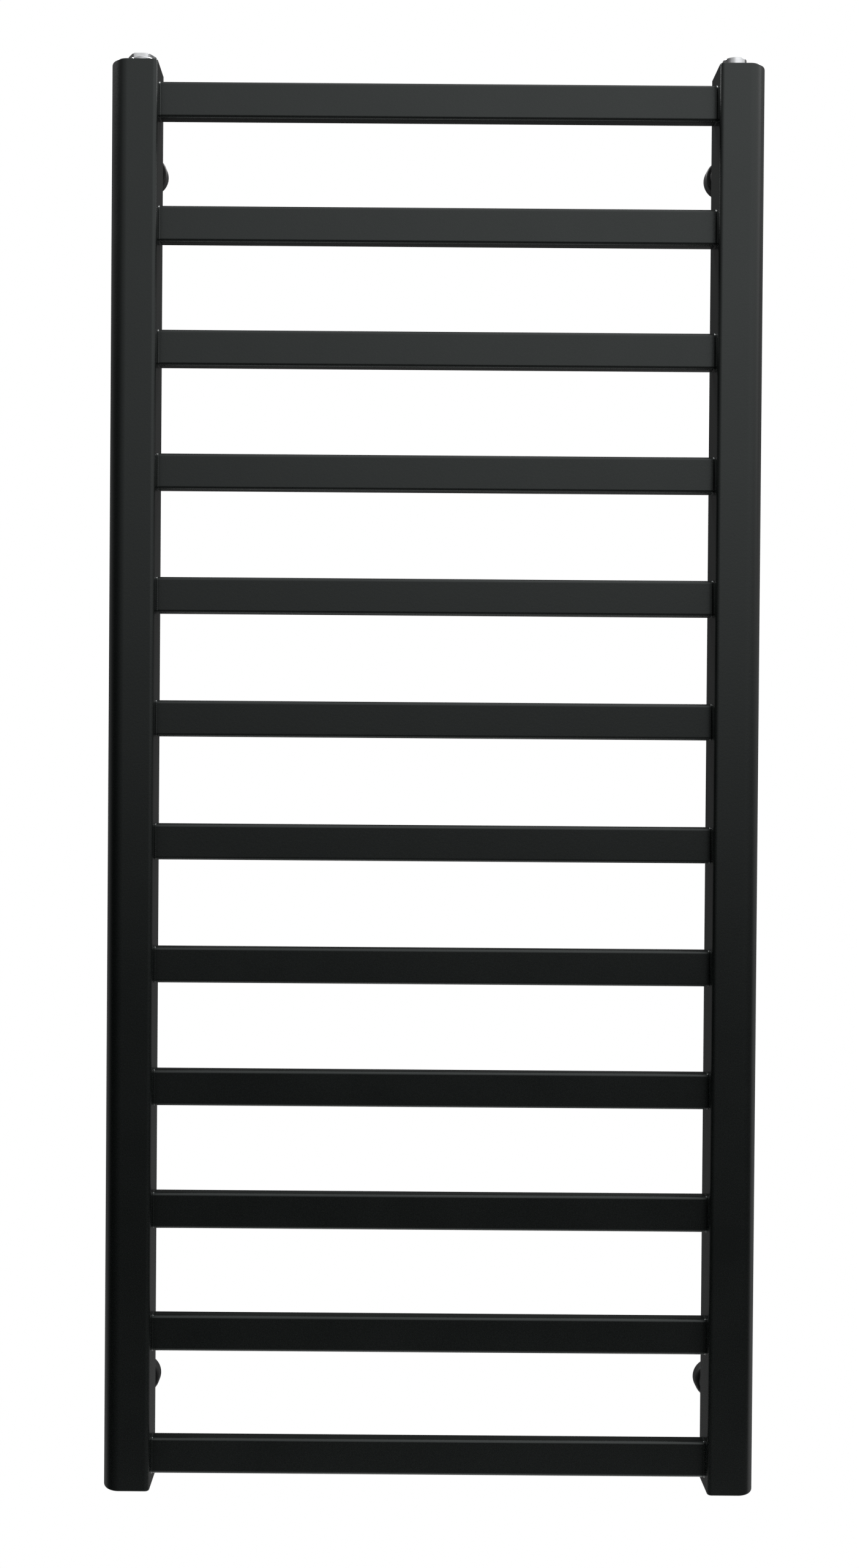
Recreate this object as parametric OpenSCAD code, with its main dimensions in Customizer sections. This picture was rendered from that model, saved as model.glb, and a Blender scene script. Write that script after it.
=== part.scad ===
// Wall-hung hot-water towel warmer rack: two upright D-section collectors, twelve flat rails,
// four adjustable wall brackets, a bleed valve and a blind plug.
// Millimetres. +Z is up, the wall is the plane Y = 0 and the front of the rack faces -Y.
// The origin lies on the wall, in the middle of the four wall fixings.

/* [Rack] */
// Width over both collectors
rack_w = 550; // [450:10:700]
// Height of the collectors
rack_h = 1198; // [1000:1:1500]
// Distance from a collector's top to the middle of the highest rail
rail_top_margin = 28.5; // [22:0.5:45]
// Distance from a collector's bottom to the middle of the lowest rail
rail_bottom_margin = 24.5; // [22:0.5:45]
// Free space between the collectors and the wall
wall_gap = 35; // [33:1:37]

/* [Collectors] */
// Width of the D section, seen from the front
collector_w = 40.5; // [38:0.5:50]
// Depth of the D section
collector_d = 42; // [38:1:44]
// Width of the D section's rounded outer part, which is half an ellipse
collector_bow = 15; // [12:0.5:20]
// Wall thickness of the collector tube
collector_wall = 1.5; // [1:0.1:2.2]
// Radius of the two corners beside the flat inner side
collector_corner_r = 3.5; // [2.3:0.1:7]
// Thickness of the end caps welded into the collectors
end_cap_t = 3; // [2:0.5:5]

/* [Rails] */
// Height of a rail
rail_h = 30.5; // [20:0.5:36]
// Depth of a rail, from front to back
rail_d = 13; // [10:0.5:16]
// Wall thickness of a rail
rail_wall = 1.2; // [0.8:0.1:2]
// Corner radius of a rail
rail_corner_r = 2.5; // [2.1:0.1:4]
// How far the rails' faces lie behind the front of the collectors
rail_recess = 14.5; // [6:0.5:20]
// Size of the weld bead around each rail
weld_bead = 1; // [0.8:0.1:2]

/* [Pipe connections] */
// Distance between the axes of the two collectors' ports
port_spacing = 500; // [400:10:650]
// Radius of the tapped hole in the lower ports, for a half inch pipe thread
port_r = 9.32; // [9:0.01:9.6]
// Outer radius of the port bushes
bush_r = 13; // [12:0.1:13.2]
// Length of the port bushes
bush_l = 14; // [12:1:20]

/* [Wall brackets] */
// Sideways distance between the wall fixings
fixing_spacing_x = 500; // [400:10:650]
// Height between the upper and the lower wall fixings
fixing_spacing_z = 1050; // [800:2:1400]
// Radius of the wall disc
disc_r = 15.5; // [14:0.5:20]
// Thickness of the wall disc
disc_t = 12; // [11:0.5:12.5]
// Radius of the hole for the wall screw
wall_screw_hole_r = 3.25; // [2:0.05:4]
// Outer radius of the sleeve on the rack
sleeve_r = 12; // [10.5:0.5:14]
// Radius of the spigot that the sleeve slides on
spigot_r = 7; // [6.5:0.1:7.5]

/* [Bleed valve and plug] */
// Across-flats size of the blind plug's hexagon
plug_hex_af = 21; // [19:0.5:23]
// Height of the blind plug above the collector
plug_height = 8.6; // [8:0.1:10]
// Outer radius of the bleed valve's swivelling outlet ring
outlet_r = 10; // [9.5:0.1:11]
// Height of the outlet ring's top above the collector
outlet_height = 9.1; // [8:0.1:10]

/* [Hidden] */

$fn = 96;

// Colours
satin_black = "#1d1f1f";
bracket_black = "#141515";
chrome = "#c9ccd0";
zinc = "#a3a7ab";
seal_black = "#26282a";

// A little extra length, so that a cut runs cleanly past a face
over = 1;
// Play between a moving round piece and its hole
running_play = 0.05;

// Rack
rail_count = 12;
rail_pitch = (rack_h - rail_top_margin - rail_bottom_margin) / (rail_count - 1);
rack_top = rack_h / 2;
collector_back_y = -wall_gap;
collector_mid_y = collector_back_y - collector_d / 2;
collector_front_y = collector_back_y - collector_d;
collector_inner_x = rack_w / 2 - collector_w;
rail_mid_y = collector_front_y + rail_recess + rail_d / 2;
port_x = port_spacing / 2;

// Brackets, measured along Y from the wall
fixing_x = fixing_spacing_x / 2;
fixing_z = fixing_spacing_z / 2;
boss_r = 7;
boss_l = 7;
boss_thread_r = 2.55;
boss_thread_l = 6;
sleeve_socket_l = 2;
sleeve_floor_t = 3;
sleeve_hole_r = 2.8;
sleeve_end_y = -14;
sleeve_socket_y = collector_back_y + boss_l;
sleeve_start_y = sleeve_socket_y - sleeve_socket_l;
sleeve_floor_y = sleeve_socket_y + sleeve_floor_t;
spigot_l = 11;
spigot_bore_r = 5.6;
disc_floor_t = 8;
disc_edge_r = 2;
sleeve_screw_r = 2.5;
sleeve_screw_l = 5.4;
sleeve_screw_head_r = 5;
sleeve_screw_head_l = 3.3;
sleeve_screw_key_af = 4;
sleeve_screw_key_depth = 2;
grub_r = 2.45;
grub_l = 4.8;
grub_key_af = 2.5;
grub_key_depth = 2;
grub_y = -17;
grub_tip_gap = 0.1;
grub_tip_r = spigot_r + grub_tip_gap;

// Plug and bleed valve, measured upwards from the top of the collector
thread_r = 10.4;
top_bush_bore_r = thread_r + running_play;
thread_l = 11;
seal_gap = 1.2;
seal_ring_r = 0.7;
seal_groove_r = thread_r + 0.1;
flange_r = 12.5;
plug_flange_top = 3.6;
plug_cone_r = 10.2;
plug_cone_top = 6;
plug_socket_af = 12;
plug_socket_depth = 3;
edge = 0.6;
vent_flange_top = 3.2;
neck_r = 7;
neck_top = outlet_height - 0.3;
needle_top = outlet_height + 1;
needle_r = 3;
needle_bore_r = needle_r + running_play;
needle_bottom = -3;
needle_seat_r = 1;
needle_cone_l = 2;
needle_slot_w = 1.2;
needle_slot_depth = 1.6;
needle_groove_r = 1.6;
needle_groove_z = 0.4;
needle_groove_l = 1.5;
needle_ring_r = 0.65;
needle_ring_mid_r = needle_r - needle_ring_r;
outlet_z = 5.8;
outlet_hole_r = 0.8;
outlet_spout_r = 1.9;
outlet_spout_l = 3.4;
outlet_gap = 0.2;

function rail_z(i) = rack_top - rail_top_margin - i * rail_pitch;

// ---- Shapes that repeat ----

// Rectangle with true round corners, centred
module rounded_rect(w, h, r) {
  square([w - 2 * r, h], center = true);
  square([w, h - 2 * r], center = true);
  for (sx = [-1, 1], sy = [-1, 1])
    translate([sx * (w / 2 - r), sy * (h / 2 - r)]) circle(r = r);
}

// D section: flat side on x = 0, half an ellipse of width bow towards +x, centred on y = 0
module d_section(w, d, r, bow) {
  translate([w - bow, 0]) scale([2 * bow / d, 1]) circle(r = d / 2);
  translate([r, -d / 2]) square([w - bow - r, d]);
  translate([0, -d / 2 + r]) square([r, d - 2 * r]);
  for (sy = [-1, 1])
    translate([r, sy * (d / 2 - r)]) circle(r = r);
}

// The collector's hollow, in the section's own place
module d_hollow() {
  translate([collector_wall, 0])
    d_section(
      collector_w - 2 * collector_wall,
      collector_d - 2 * collector_wall,
      collector_corner_r - collector_wall,
      collector_bow - collector_wall
    );
}

// Places a shape drawn for the +X side on the side sx
module on_side(sx) {
  if (sx > 0) children();
  else mirror([1, 0, 0]) children();
}

// Extrudes a section (x is depth, y is height) along +X
module along_x(len) {
  rotate([90, 0, 90]) linear_extrude(height = len) children();
}

// A cylinder along Y between two Y values
module y_rod(r, y0, y1) {
  translate([0, y1, 0]) rotate([90, 0, 0]) cylinder(r = r, h = y1 - y0);
}

// Hexagonal prism along +Z, by its size across flats
module hex_prism(af, h) {
  cylinder(r = af / sqrt(3), h = h, $fn = 6);
}

// Ring of round section lying flat, centred on its own height
module seal_ring(mid_r, section_r) {
  rotate_extrude() translate([mid_r, 0]) circle(r = section_r, $fn = 32);
}

// Places a piece of one bracket at its corner
module at_fixing(sx, sz) {
  translate([sx * fixing_x, 0, sz * fixing_z]) children();
}

// ---- Collectors ----

module collector(sx) {
  color(satin_black)
  on_side(sx)
  difference() {
    translate([collector_inner_x, collector_mid_y, -rack_top])
      linear_extrude(height = rack_h)
        difference() {
          d_section(collector_w, collector_d, collector_corner_r, collector_bow);
          d_hollow();
        }
    for (i = [0 : rail_count - 1])
      translate([collector_inner_x - over, rail_mid_y, rail_z(i)])
        along_x(collector_wall + 2 * over)
          rounded_rect(rail_d - 2 * rail_wall, rail_h - 2 * rail_wall, rail_corner_r - rail_wall);
    for (sz = [-1, 1])
      translate([fixing_x, 0, sz * fixing_z])
        y_rod(boss_r, collector_back_y - collector_wall - over, collector_back_y + over);
  }
}

module end_cap(sx, sz) {
  cap_z = sz > 0 ? rack_top - end_cap_t : -rack_top;
  color(satin_black)
  on_side(sx)
  difference() {
    translate([collector_inner_x, collector_mid_y, cap_z])
      linear_extrude(height = end_cap_t) d_hollow();
    translate([port_x, collector_mid_y, cap_z - over])
      cylinder(r = bush_r, h = end_cap_t + 2 * over);
  }
}

module port_bush(sx, sz, bore_r) {
  bush_z = sz > 0 ? rack_top - bush_l : -rack_top;
  color(satin_black)
  translate([sx * port_x, collector_mid_y, bush_z])
    difference() {
      cylinder(r = bush_r, h = bush_l);
      translate([0, 0, -over]) cylinder(r = bore_r, h = bush_l + 2 * over);
    }
}

// ---- Rails ----

module rail(i) {
  color(satin_black)
  translate([-collector_inner_x, rail_mid_y, rail_z(i)])
    along_x(2 * collector_inner_x)
      difference() {
        rounded_rect(rail_d, rail_h, rail_corner_r);
        rounded_rect(rail_d - 2 * rail_wall, rail_h - 2 * rail_wall, rail_corner_r - rail_wall);
      }
}

module weld_beads(sx) {
  color(satin_black)
  on_side(sx)
  for (i = [0 : rail_count - 1])
    translate([collector_inner_x - weld_bead, rail_mid_y, rail_z(i)])
      along_x(weld_bead)
        difference() {
          rounded_rect(rail_d + 2 * weld_bead, rail_h + 2 * weld_bead, rail_corner_r + weld_bead);
          rounded_rect(rail_d, rail_h, rail_corner_r);
        }
}

// ---- Blind plug ----

module plug_body() {
  color(chrome)
  translate([-port_x, collector_mid_y, rack_top])
    difference() {
      union() {
        translate([0, 0, -thread_l]) cylinder(r = thread_r, h = thread_l + seal_gap);
        rotate_extrude()
          polygon([
            [0, seal_gap], [flange_r, seal_gap], [flange_r, plug_flange_top],
            [plug_cone_r, plug_cone_top], [0, plug_cone_top]
          ]);
        intersection() {
          translate([0, 0, plug_flange_top]) hex_prism(plug_hex_af, plug_height - plug_flange_top);
          translate([0, 0, plug_flange_top]) plug_chamfer(plug_height - plug_flange_top);
        }
      }
      translate([0, 0, plug_height - plug_socket_depth])
        hex_prism(plug_socket_af, plug_socket_depth + over);
    }
}

// Round blank that takes the corners off the top of the hexagon
module plug_chamfer(h) {
  blank_r = plug_hex_af / sqrt(3) + edge;
  top_r = plug_hex_af / sqrt(3) - edge;
  rotate_extrude()
    polygon([[0, 0], [blank_r, 0], [blank_r, h - edge], [top_r, h], [0, h]]);
}

module flange_seal(sx) {
  color(seal_black)
  translate([sx * port_x, collector_mid_y, rack_top + seal_gap / 2])
    rotate_extrude()
      translate([seal_groove_r + seal_ring_r, 0])
        intersection() {
          circle(r = seal_ring_r, $fn = 48);
          square([4 * seal_ring_r, seal_gap], center = true);
        }
}

// ---- Bleed valve ----

module at_vent() {
  translate([port_x, collector_mid_y, rack_top]) children();
}

module vent_body() {
  color(chrome)
  at_vent()
    difference() {
      union() {
        translate([0, 0, -thread_l]) cylinder(r = thread_r, h = thread_l + seal_gap);
        translate([0, 0, seal_gap]) cylinder(r = flange_r, h = vent_flange_top - seal_gap);
        translate([0, 0, vent_flange_top]) cylinder(r = neck_r, h = neck_top - vent_flange_top);
      }
      translate([0, 0, needle_bottom + needle_cone_l]) cylinder(r = needle_bore_r, h = needle_top + thread_l);
      translate([0, 0, -thread_l - over]) cylinder(r = needle_seat_r + running_play, h = thread_l + needle_top);
      translate([0, 0, outlet_z]) rotate([-90, 0, 0]) cylinder(r = outlet_hole_r, h = neck_r + over);
      translate([0, 0, needle_bottom])
        rotate_extrude()
          polygon([
            [0, 0], [needle_seat_r + running_play, 0],
            [needle_bore_r, needle_cone_l], [0, needle_cone_l]
          ]);
    }
}

module vent_outlet_ring() {
  ring_z = vent_flange_top + outlet_gap;
  ring_h = outlet_height - ring_z;
  color(chrome)
  at_vent()
    difference() {
      union() {
        rotate_extrude()
          polygon([
            [0, ring_z], [outlet_r - edge, ring_z], [outlet_r, ring_z + edge],
            [outlet_r, ring_z + ring_h - edge], [outlet_r - edge, ring_z + ring_h], [0, ring_z + ring_h]
          ]);
        translate([0, 0, outlet_z]) rotate([-90, 0, 0])
          cylinder(r = outlet_spout_r, h = outlet_r + outlet_spout_l);
      }
      translate([0, 0, ring_z - over]) cylinder(r = neck_r + running_play, h = ring_h + 2 * over);
      translate([0, 0, outlet_z]) rotate([-90, 0, 0])
        cylinder(r = outlet_hole_r, h = outlet_r + outlet_spout_l + over);
    }
}

module vent_needle() {
  groove_top = needle_groove_z + needle_groove_l;
  color(zinc)
  at_vent()
    difference() {
      rotate_extrude()
        polygon([
          [0, needle_bottom], [needle_seat_r, needle_bottom + 2 * running_play],
          [needle_r, needle_bottom + needle_cone_l + 2 * running_play],
          [needle_r, needle_groove_z], [needle_groove_r, needle_groove_z],
          [needle_groove_r, groove_top], [needle_r, groove_top],
          [needle_r, needle_top - edge / 2], [needle_r - edge / 2, needle_top], [0, needle_top]
        ]);
      translate([-needle_r - over, -needle_slot_w / 2, needle_top - needle_slot_depth])
        cube([2 * (needle_r + over), needle_slot_w, needle_slot_depth + over]);
    }
}

module vent_needle_seal() {
  color(seal_black)
  at_vent()
    translate([0, 0, needle_groove_z + needle_groove_l / 2])
      seal_ring(needle_ring_mid_r, needle_ring_r);
}

// ---- Wall brackets ----

module boss(sx, sz) {
  color(satin_black)
  at_fixing(sx, sz)
    difference() {
      y_rod(boss_r, collector_back_y - collector_wall, sleeve_socket_y);
      y_rod(boss_thread_r, sleeve_socket_y - boss_thread_l, sleeve_socket_y + over);
    }
}

module sleeve(sx, sz) {
  color(bracket_black)
  at_fixing(sx, sz)
    difference() {
      y_rod(sleeve_r, sleeve_start_y, sleeve_end_y);
      y_rod(boss_r + running_play, sleeve_start_y - over, sleeve_socket_y);
      y_rod(sleeve_hole_r, sleeve_start_y, sleeve_end_y);
      y_rod(spigot_r + running_play, sleeve_floor_y, sleeve_end_y + over);
      translate([0, grub_y, -sleeve_r - over]) cylinder(r = grub_r + running_play, h = sleeve_r + over);
    }
}

module sleeve_screws() {
  color(zinc)
  for (sx = [-1, 1], sz = [-1, 1])
    at_fixing(sx, sz)
      difference() {
        union() {
          y_rod(sleeve_screw_r, sleeve_socket_y - sleeve_screw_l, sleeve_floor_y);
          y_rod(sleeve_screw_head_r, sleeve_floor_y, sleeve_floor_y + sleeve_screw_head_l);
        }
        translate([0, sleeve_floor_y + sleeve_screw_head_l + over, 0])
          rotate([90, 0, 0]) hex_prism(sleeve_screw_key_af, sleeve_screw_key_depth + over);
      }
}

module grub_screw(sx, sz) {
  color(zinc)
  at_fixing(sx, sz)
    translate([0, grub_y, -grub_tip_r - grub_l])
      difference() {
        cylinder(r = grub_r, h = grub_l);
        translate([0, 0, -over]) hex_prism(grub_key_af, grub_key_depth + over);
      }
}

module wall_disc(sx, sz) {
  color(bracket_black)
  at_fixing(sx, sz)
    difference() {
      rotate([90, 0, 0])
        rotate_extrude() {
          square([disc_r, disc_t - disc_edge_r]);
          square([disc_r - disc_edge_r, disc_t]);
          translate([disc_r - disc_edge_r, disc_t - disc_edge_r]) circle(r = disc_edge_r);
          square([spigot_r, disc_t + spigot_l]);
        }
      y_rod(wall_screw_hole_r, -disc_floor_t - over, over);
      y_rod(spigot_bore_r, -disc_t - spigot_l - over, -disc_floor_t);
    }
}

// ---- Pieces ----

collector(-1);  // left_collector
collector(1);  // right_collector
end_cap(-1, 1);  // left_top_cap
end_cap(1, 1);  // right_top_cap
end_cap(-1, -1);  // left_bottom_cap
end_cap(1, -1);  // right_bottom_cap
port_bush(-1, 1, top_bush_bore_r);  // left_top_bush
port_bush(1, 1, top_bush_bore_r);  // right_top_bush
port_bush(-1, -1, port_r);  // left_port_bush
port_bush(1, -1, port_r);  // right_port_bush
rail(0);  // rail_01
rail(1);  // rail_02
rail(2);  // rail_03
rail(3);  // rail_04
rail(4);  // rail_05
rail(5);  // rail_06
rail(6);  // rail_07
rail(7);  // rail_08
rail(8);  // rail_09
rail(9);  // rail_10
rail(10);  // rail_11
rail(11);  // rail_12
weld_beads(-1);  // left_weld_beads
weld_beads(1);  // right_weld_beads
plug_body();
flange_seal(-1);  // plug_seal
vent_body();
flange_seal(1);  // vent_seal
vent_outlet_ring();
vent_needle();
vent_needle_seal();
boss(-1, 1);  // upper_left_boss
boss(1, 1);  // upper_right_boss
boss(-1, -1);  // lower_left_boss
boss(1, -1);  // lower_right_boss
sleeve(-1, 1);  // upper_left_sleeve
sleeve(1, 1);  // upper_right_sleeve
sleeve(-1, -1);  // lower_left_sleeve
sleeve(1, -1);  // lower_right_sleeve
grub_screw(-1, 1);  // upper_left_grub_screw
grub_screw(1, 1);  // upper_right_grub_screw
grub_screw(-1, -1);  // lower_left_grub_screw
grub_screw(1, -1);  // lower_right_grub_screw
sleeve_screws();
wall_disc(-1, 1);  // upper_left_wall_disc
wall_disc(1, 1);  // upper_right_wall_disc
wall_disc(-1, -1);  // lower_left_wall_disc
wall_disc(1, -1);  // lower_right_wall_disc
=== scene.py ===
import math

import bpy
from mathutils import Matrix, Vector


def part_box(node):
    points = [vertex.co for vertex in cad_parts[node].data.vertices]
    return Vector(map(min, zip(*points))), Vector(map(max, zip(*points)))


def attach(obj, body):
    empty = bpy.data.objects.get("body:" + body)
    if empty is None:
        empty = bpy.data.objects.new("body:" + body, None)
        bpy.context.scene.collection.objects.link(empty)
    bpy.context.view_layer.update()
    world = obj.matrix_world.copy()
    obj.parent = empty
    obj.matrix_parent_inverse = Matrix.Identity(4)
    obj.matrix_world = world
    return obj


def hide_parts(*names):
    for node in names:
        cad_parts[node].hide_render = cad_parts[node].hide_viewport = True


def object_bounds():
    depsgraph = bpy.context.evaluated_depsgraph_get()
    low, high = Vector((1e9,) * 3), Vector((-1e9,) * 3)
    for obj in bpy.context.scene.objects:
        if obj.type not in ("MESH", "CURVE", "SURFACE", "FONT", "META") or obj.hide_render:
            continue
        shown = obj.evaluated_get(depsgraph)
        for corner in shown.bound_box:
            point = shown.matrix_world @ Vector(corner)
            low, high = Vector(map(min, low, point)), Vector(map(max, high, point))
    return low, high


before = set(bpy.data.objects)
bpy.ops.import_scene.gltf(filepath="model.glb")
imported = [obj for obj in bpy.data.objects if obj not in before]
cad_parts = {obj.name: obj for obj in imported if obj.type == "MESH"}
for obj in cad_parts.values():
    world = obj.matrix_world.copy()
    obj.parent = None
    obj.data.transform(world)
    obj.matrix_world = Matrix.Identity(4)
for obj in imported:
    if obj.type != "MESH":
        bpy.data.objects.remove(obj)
cad_low, cad_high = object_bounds()

# Shapes are drawn in millimetres and put into the frame, in metres, by place(). PLAY is the gap between
# moving parts. CORE_R is the radius of the innermost ring of a solid turned shape, round its axis.
MM = 0.001
PI = math.pi
PLAY = 0.05
CORE_R = 0.2
UPRIGHT = Matrix.Identity(4)
FROM_WALL = Matrix.Rotation(PI / 2, 4, "X")
UPSIDE_DOWN = Matrix.Rotation(PI, 4, "X")
SIDES = {"left": -1, "right": 1}
CORNERS = ["upper_left", "upper_right", "lower_left", "lower_right"]


# ---- Camera, light and floor ----

# The camera stands a little to the left of the middle, at mid height, 1.45 m from the front.
CAMERA_X = -0.0343
CAMERA_Z = 0.0120
CAMERA_TO_FRONT = 1.452
CAMERA_DOWN = 0.0092
CAMERA_ROLL = 0.0075
LENS_MM = 39.9
SENSOR_MM = 36.0
SHIFT_X = 0.0236
SHIFT_Y = -0.0019


def make_camera():
    data = bpy.data.cameras.new("camera")
    data.lens = LENS_MM
    data.sensor_width = SENSOR_MM
    data.shift_x = SHIFT_X
    data.shift_y = SHIFT_Y
    camera = bpy.data.objects.new("camera", data)
    bpy.context.scene.collection.objects.link(camera)
    front_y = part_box("left_collector")[0].y
    spot = Matrix.Translation((CAMERA_X, front_y - CAMERA_TO_FRONT, CAMERA_Z))
    aim = Matrix.Rotation(PI / 2 - CAMERA_DOWN, 4, "X") @ Matrix.Rotation(CAMERA_ROLL, 4, "Z")
    camera.matrix_world = spot @ aim
    bpy.context.scene.camera = camera


# Where the right softbox stands, in metres. The left one mirrors it, and both face the frame's origin.
SOFTBOX_AT = (1.6, 0.8, 2.1)
SOFTBOX_SIZE = 0.8
SOFTBOX_WATTS = 85


def make_softboxes():
    """Two square lamps high behind the rack, hidden from the camera, which light its back and sides."""
    for name, side in SIDES.items():
        data = bpy.data.lights.new(f"{name}_softbox", "AREA")
        data.size = SOFTBOX_SIZE
        data.energy = SOFTBOX_WATTS
        light = bpy.data.objects.new(data.name, data)
        x, y, z = SOFTBOX_AT
        light.location = (side * x, y, z)
        light.rotation_euler = (-light.location).to_track_quat("-Z", "Y").to_euler()
        light.visible_camera = False
        bpy.context.scene.collection.objects.link(light)


def math_node(tree, operation, second=None, third=None):
    node = tree.nodes.new("ShaderNodeMath")
    node.operation = operation
    for at, value in ((1, second), (2, third)):
        if value is not None:
            node.inputs[at].default_value = value
    return node


def by_direction(tree, axis, stops):
    """A level for each direction, from (share along the axis, level) stops. The shares run from -1 to 1."""
    where = tree.nodes.new("ShaderNodeTexCoord")
    split = tree.nodes.new("ShaderNodeSeparateXYZ")
    position = math_node(tree, "MULTIPLY_ADD", second=0.5, third=0.5)
    ramp = tree.nodes.new("ShaderNodeValToRGB")
    for _ in stops[2:]:
        ramp.color_ramp.elements.new(0.5)
    for element, (share, level) in zip(ramp.color_ramp.elements, stops):
        element.position = share / 2 + 0.5
        element.color = (level, level, level, 1)
    tree.links.new(where.outputs["Generated"], split.inputs[0])
    tree.links.new(split.outputs[axis], position.inputs[0])
    tree.links.new(position.outputs[0], ramp.inputs["Fac"])
    return ramp.outputs["Color"]


def times(tree, one, other):
    node = math_node(tree, "MULTIPLY")
    tree.links.new(one, node.inputs[0])
    tree.links.new(other, node.inputs[1])
    return node.outputs[0]


# The room's light by direction, in stops of (share along the axis, level). The part in front of the rack and
# the part behind it each have levels from below to above and from left to right, which are multiplied.
IN_FRONT_UP = [
    (-1, 0.08), (-0.6, 0.14), (-0.44, 0.24), (-0.38, 0.05), (-0.27, 0.03), (-0.1, 0.075),
    (0.03, 0.345), (0.2, 0.78), (0.4, 0.97), (1, 1),
]
IN_FRONT_ACROSS = [
    (-1, 0.02), (-0.93, 0.07), (-0.75, 0.2), (-0.6, 0.36), (-0.3, 0.48), (-0.14, 0.64),
    (0.02, 0.9), (0.18, 1), (0.5, 1), (0.8, 0.88), (0.93, 0.68), (1, 0.55),
]
BEHIND_UP = [
    (-1, 1), (-0.39, 1), (-0.25, 0.9), (-0.12, 0.78), (0.03, 0.66), (0.2, 0.645), (1, 0.645),
]
BEHIND_ACROSS = [
    (-1, 0.03), (-0.88, 0.08), (-0.7, 0.12), (-0.45, 0.06), (-0.18, 0.036), (0.14, 0.052),
    (0.33, 0.06), (0.63, 0.11), (0.75, 0.16), (0.94, 0.24), (1, 0.25),
]
# How far the front part goes round towards the back, in the same kind of stops.
FRONT_SHARE = [(-1, 1), (0.1, 1), (0.35, 0), (1, 0)]
ROOM_STRENGTH = 2.3


def make_world():
    """White to the camera. As a light it is soft, bright above and on the right, and dim below and behind."""
    world = bpy.data.worlds.new("studio")
    bpy.context.scene.world = world
    world.use_nodes = True
    tree = world.node_tree
    tree.nodes.clear()
    out = tree.nodes.new("ShaderNodeOutputWorld")
    seen = tree.nodes.new("ShaderNodeBackground")
    seen.inputs["Color"].default_value = (1, 1, 1, 1)
    room = tree.nodes.new("ShaderNodeBackground")
    room.inputs["Strength"].default_value = ROOM_STRENGTH
    front = times(tree, by_direction(tree, "Z", IN_FRONT_UP), by_direction(tree, "X", IN_FRONT_ACROSS))
    behind = times(tree, by_direction(tree, "Z", BEHIND_UP), by_direction(tree, "X", BEHIND_ACROSS))
    level = tree.nodes.new("ShaderNodeMix")
    path = tree.nodes.new("ShaderNodeLightPath")
    mix = tree.nodes.new("ShaderNodeMixShader")
    links = tree.links
    links.new(by_direction(tree, "Y", FRONT_SHARE), level.inputs["Factor"])
    links.new(behind, level.inputs["A"])
    links.new(front, level.inputs["B"])
    links.new(level.outputs["Result"], room.inputs["Color"])
    links.new(path.outputs["Is Camera Ray"], mix.inputs["Fac"])
    links.new(room.outputs[0], mix.inputs[1])
    links.new(seen.outputs[0], mix.inputs[2])
    links.new(mix.outputs[0], out.inputs["Surface"])


# ---- Outlines, in millimetres ----


def arc(x, y, r, start, stop, steps):
    """Points of an arc about (x, y), its angles in quarter turns."""
    turns = [start + (stop - start) * step / steps for step in range(steps + 1)]
    return [(x + r * math.cos(turn * PI / 2), y + r * math.sin(turn * PI / 2)) for turn in turns]


def rounded(corners, steps=5, hold=0.3):
    """A closed outline from (x, y, fillet radius) corners.

    A point on each side of a fillet, at the distance hold from its end, keeps the flats flat.
    """
    outline = []
    for at, (x, y, r) in enumerate(corners):
        here = Vector((x, y))
        before = (Vector(corners[at - 1][:2]) - here).normalized()
        after = (Vector(corners[(at + 1) % len(corners)][:2]) - here).normalized()
        if r == 0:
            outline.append((x, y))
            continue
        half = before.angle(after) / 2
        reach = r / math.tan(half)
        middle = here + (before + after).normalized() * (r / math.sin(half))
        first = here + before * reach - middle
        swing = first.angle_signed(here + after * reach - middle)
        outline.append(tuple(here + before * (reach + hold)))
        for step in range(steps + 1):
            turn = Matrix.Rotation(-swing * step / steps, 2)
            outline.append(tuple(middle + turn @ first))
        outline.append(tuple(here + after * (reach + hold)))
    return outline


def rounded_rect(width, height, r, steps=5, hold=0.4):
    x, y = width / 2, height / 2
    return rounded([(x, -y, r), (x, y, r), (-x, y, r), (-x, -y, r)], steps, hold)


def hexagon(across_flats, corner=0.0):
    """The radius of a hexagon at an angle. The corners lose a share of their height over the flats."""
    flat = across_flats / 2

    def radius(angle):
        off = angle % (PI / 3) - PI / 6
        sharp = flat / math.cos(off)
        return sharp - corner * (sharp - flat) ** 2 / (flat * (2 / math.sqrt(3) - 1))

    return radius


def soft_max(a, b, blend):
    """The larger of a and b, with a smooth change where they differ by less than blend."""
    over = max(blend - abs(a - b), 0) / blend
    return max(a, b) + over * over * blend / 4


def soft_min(a, b, blend):
    return -soft_max(-a, -b, blend)


def between(low, high, count):
    """Evenly spaced values from low to high, both included."""
    return [low + (high - low) * step / (count - 1) for step in range(count)]


# ---- Meshes ----


def skin(rings, closed):
    """Faces over rings of points. Closed rings join the last one to the first; open ones are capped."""
    count = len(rings[0])
    points = [point for ring in rings for point in ring]
    faces = []
    for at in range(len(rings) if closed else len(rings) - 1):
        this, following = at * count, (at + 1) % len(rings) * count
        for step in range(count):
            beside = (step + 1) % count
            faces.append((this + step, this + beside, following + beside, following + step))
    if not closed:
        for ring, flip in ((0, True), (len(rings) - 1, False)):
            middle = len(points)
            points.append(sum((Vector(p) for p in rings[ring]), Vector()) / count)
            for step in range(count):
                pair = [ring * count + step, ring * count + (step + 1) % count]
                faces.append((*(reversed(pair) if flip else pair), middle))
    return points, faces


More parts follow.
